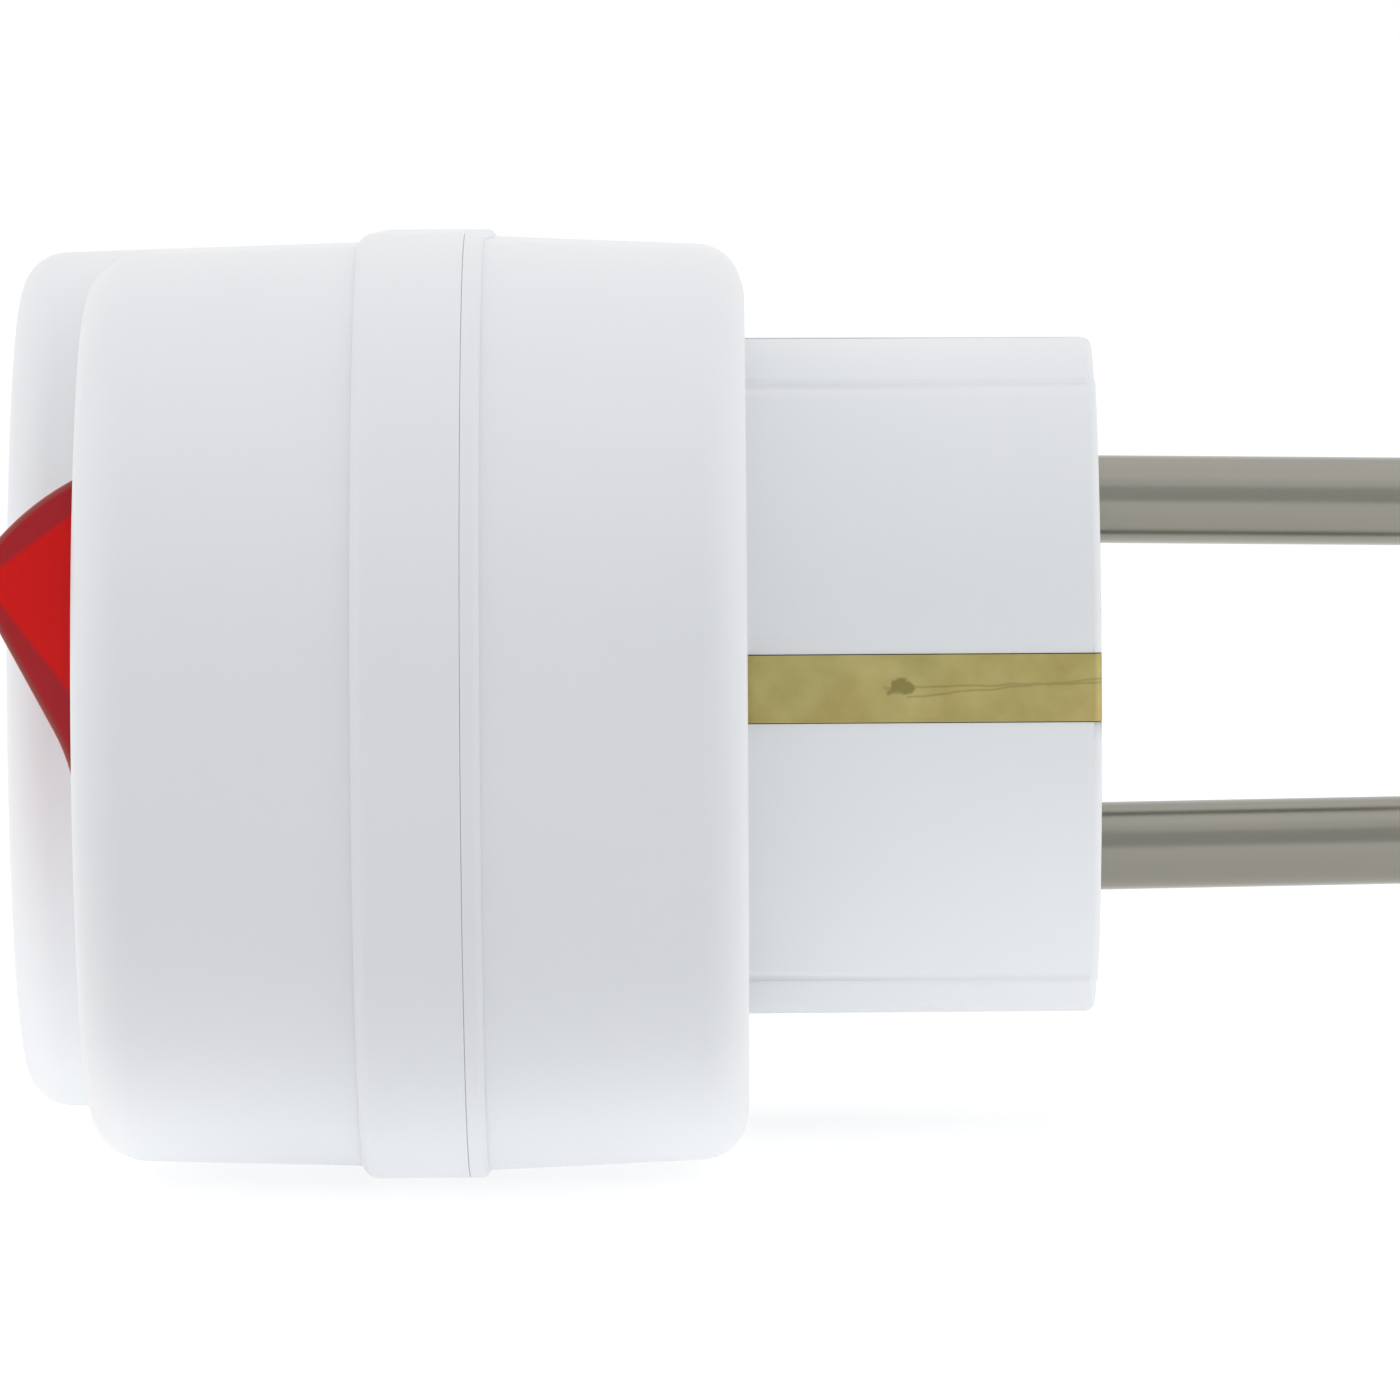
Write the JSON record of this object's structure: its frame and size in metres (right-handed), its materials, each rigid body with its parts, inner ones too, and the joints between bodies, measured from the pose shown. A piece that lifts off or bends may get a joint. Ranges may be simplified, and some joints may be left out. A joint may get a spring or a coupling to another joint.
{
  "type": "switched adapter plug",
  "caption": "Plug-in adapter with round earthed plug pins on one side, a deep round socket on the other and a lit rocker switch beside it.",
  "frame": {"origin": "centre of the plug's nose face, midway between the two pins", "axes": "+X out along the plug pins, +Z along the line through both pins, -Y towards the switch end; the socket opens towards -X"},
  "size_m": [0.0774, 0.086, 0.049],
  "materials": {
    "shell_white": "moulded thermoset plastic, smooth satin gloss",
    "carrier_grey": "moulded insulating plastic",
    "pin_nickel": "nickel-plated brass, turned and satin",
    "contact_brass": "bare stamped brass",
    "earth_brass": "bare stamped brass, dulled by handling",
    "housing_black": "moulded black insulating plastic",
    "rocker_red": "translucent red polycarbonate, polished",
    "lamp_glass": "clear glass",
    "resistor_body": "lacquered ceramic",
    "lead_wire": "tinned copper wire",
    "spring_steel": "drawn spring wire",
    "screw_steel": "zinc-plated steel"
  },
  "bodies": {
    "housing": {"front_cover": "shell_white", "rear_cover": "shell_white", "contact_carrier": "carrier_grey", "plug_pin_upper": "pin_nickel", "plug_pin_lower": "pin_nickel", "socket_sleeve_upper": "contact_brass", "socket_sleeve_lower": "contact_brass", "earth_strip_near": "earth_brass", "earth_strip_far": "earth_brass", "earth_clip_near": "earth_brass", "earth_clip_far": "earth_brass", "earth_yoke": "earth_brass", "earth_rivets": "contact_brass", "switch_housing": "housing_black", "neon_lamp": "lamp_glass", "lamp_resistor": "resistor_body", "lamp_leads": "lead_wire", "nose_screw": "screw_steel", "end_screw": "screw_steel", "pivot_terminal_near": "contact_brass", "load_terminal_near": "contact_brass", "line_strap_near": "contact_brass", "load_strap_near": "contact_brass", "pivot_terminal_far": "contact_brass", "load_terminal_far": "contact_brass", "line_strap_far": "contact_brass", "load_strap_far": "contact_brass"},
    "rocker": {"rocker": "rocker_red", "plunger_spring_near": "spring_steel", "plunger_spring_far": "spring_steel"},
    "plunger_near": {"plunger_near": "contact_brass"},
    "lever_near": {"contact_lever_near": "contact_brass"},
    "plunger_far": {"plunger_far": "contact_brass"},
    "lever_far": {"contact_lever_far": "contact_brass"}
  },
  "joints": [
    {"name": "rocker_turn", "type": "hinge", "parent": "housing", "child": "rocker", "pos_m": [-0.0468, -0.04, 0], "axis": [0, 1, 0], "range_deg": [0, 36.6]},
    {"name": "plunger_near_slide", "type": "slide", "parent": "rocker", "child": "plunger_near", "axis": [-0.9494, 0, -0.314], "range_m": [0, 0.0008], "stiffness_N_per_m": 100, "springref_m": -0.001, "deforming": ["plunger_spring_near"]},
    {"name": "lever_near_rock", "type": "hinge", "parent": "housing", "child": "lever_near", "pos_m": [-0.03405, -0.045, 0], "axis": [0, 1, 0], "range_deg": [-20, 0]},
    {"name": "plunger_far_slide", "type": "slide", "parent": "rocker", "child": "plunger_far", "axis": [-0.9494, 0, -0.314], "range_m": [0, 0.0008], "stiffness_N_per_m": 100, "springref_m": -0.001, "deforming": ["plunger_spring_far"]},
    {"name": "lever_far_rock", "type": "hinge", "parent": "housing", "child": "lever_far", "pos_m": [-0.03405, -0.035, 0], "axis": [0, 1, 0], "range_deg": [-20, 0]}
  ],
  "couplings": [
    {"joint": "lever_near_rock", "follows": "rocker_turn", "ratio": -0.5464},
    {"joint": "lever_far_rock", "follows": "rocker_turn", "ratio": -0.5464}
  ]
}
